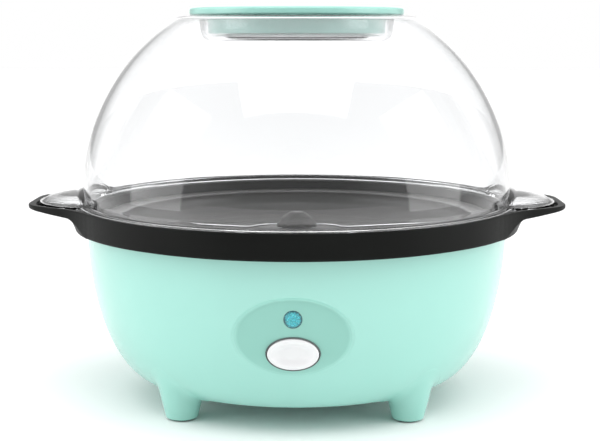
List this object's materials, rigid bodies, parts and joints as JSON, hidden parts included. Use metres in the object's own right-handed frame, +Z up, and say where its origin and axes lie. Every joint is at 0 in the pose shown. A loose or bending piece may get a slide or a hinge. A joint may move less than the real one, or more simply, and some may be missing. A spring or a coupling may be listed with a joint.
{
  "type": "stirring popcorn maker",
  "caption": "Tabletop popcorn maker: mint bowl-shaped base on feet, black rim with tray handles, stirred heated pan, clear lift-off dome that doubles as a bowl, and a kernel-measuring cap.",
  "frame": {"origin": "on the ground, under the drive shaft, at the middle of the footprint", "axes": "+Z up along the drive shaft, +X towards the right-hand handle seen from the front, -Y towards the front panel"},
  "size_m": [0.2908, 0.242, 0.21],
  "materials": {
    "mint_plastic": "glossy mint moulded plastic",
    "black_plastic": "black satin moulded plastic",
    "clear_plastic": "clear polished plastic",
    "non_stick": "dark non-stick coating on pressed aluminium",
    "stainless_wire": "bright drawn steel",
    "heater_sheath": "dull heater sheath",
    "zinc_sheet": "zinc-plated pressed sheet",
    "zinc_screw": "zinc-plated screw steel",
    "hub_phenolic": "black heat-proof moulding",
    "dark_moulding": "dark phenolic moulding",
    "winding": "enamelled copper winding",
    "nylon": "natural nylon",
    "white_button": "glossy white plastic",
    "grey_bezel": "dark grey trim",
    "lamp_lens": "pebbled translucent cyan plastic",
    "lamp_glass": "small glass lamp and ceramic fuse",
    "rubber": "dark rubber",
    "wire_jacket": "glass-sleeved hook-up wire"
  },
  "bodies": {
    "base": {"base_housing": "mint_plastic", "bottom_cover": "mint_plastic", "rim_ring": "black_plastic", "popping_pan": "non_stick", "button_spring": "stainless_wire", "shaft_bush": "stainless_wire", "heating_element": "heater_sheath", "heat_shield": "zinc_sheet", "motor_can": "zinc_sheet", "motor_cover": "zinc_sheet", "switch_bracket": "zinc_sheet", "cover_screw_1": "zinc_screw", "cover_screw_2": "zinc_screw", "cover_screw_3": "zinc_screw", "cover_screw_4": "zinc_screw", "ring_screw_1": "zinc_screw", "ring_screw_2": "zinc_screw", "ring_screw_3": "zinc_screw", "ring_screw_4": "zinc_screw", "shield_screw_1": "zinc_screw", "shield_screw_2": "zinc_screw", "shield_screw_3": "zinc_screw", "motor_screw_1": "zinc_screw", "motor_screw_2": "zinc_screw", "switch_screw_1": "zinc_screw", "switch_screw_2": "zinc_screw", "clamp_screw_1": "zinc_screw", "clamp_screw_2": "zinc_screw", "thermostat": "dark_moulding", "switch_body": "dark_moulding", "stator_coil": "winding", "lamp_holder": "nylon", "cord_clamp": "nylon", "terminal_block": "nylon", "button_bezel": "grey_bezel", "indicator_lens": "lamp_lens", "indicator_lamp": "lamp_glass", "thermal_fuse": "lamp_glass", "foot_pad_1": "rubber", "foot_pad_2": "rubber", "foot_pad_3": "rubber", "foot_pad_4": "rubber", "cord_inlet_bush": "rubber", "wire_block_to_switch": "wire_jacket", "wire_block_to_element": "wire_jacket", "wire_switch_to_element": "wire_jacket"},
    "drive": {"drive_shaft": "stainless_wire", "output_gear": "nylon"},
    "idler": {"idler_gear": "nylon"},
    "rotor": {"motor_rotor": "dark_moulding"},
    "stirrer": {"stir_hub": "hub_phenolic", "stir_arm_long": "stainless_wire", "stir_arm_short": "stainless_wire"},
    "button": {"power_button": "white_button", "switch_plunger": "nylon"},
    "dome": {"dome_cover": "clear_plastic"},
    "cap": {"top_cap": "mint_plastic"}
  },
  "joints": [
    {"name": "stir_spin", "type": "hinge", "parent": "base", "child": "drive", "pos_m": [0, 0, 0.07], "axis": [0, 0, 1], "continuous": true},
    {"name": "idler_spin", "type": "hinge", "parent": "base", "child": "idler", "pos_m": [0.007, 0.01327, 0.05], "axis": [0, 0, 1], "continuous": true},
    {"name": "rotor_spin", "type": "hinge", "parent": "base", "child": "rotor", "pos_m": [0.014, 0, 0.045], "axis": [0, 0, 1], "continuous": true},
    {"name": "stirrer_lift", "type": "slide", "parent": "drive", "child": "stirrer", "axis": [0, 0, 1], "range_m": [0, 0.04]},
    {"name": "button_press", "type": "slide", "parent": "base", "child": "button", "axis": [0, 0.9696, 0.2448], "range_m": [0, 0.0025], "stiffness_N_per_m": 400, "deforming": ["button_spring"]},
    {"name": "dome_lift", "type": "slide", "parent": "base", "child": "dome", "axis": [0, 0, 1], "range_m": [0, 0.08]},
    {"name": "cap_lift", "type": "slide", "parent": "dome", "child": "cap", "axis": [0, 0, 1], "range_m": [0, 0.03]}
  ],
  "couplings": [
    {"joint": "idler_spin", "follows": "stir_spin", "ratio": -2.75},
    {"joint": "rotor_spin", "follows": "stir_spin", "ratio": 7.5625}
  ]
}
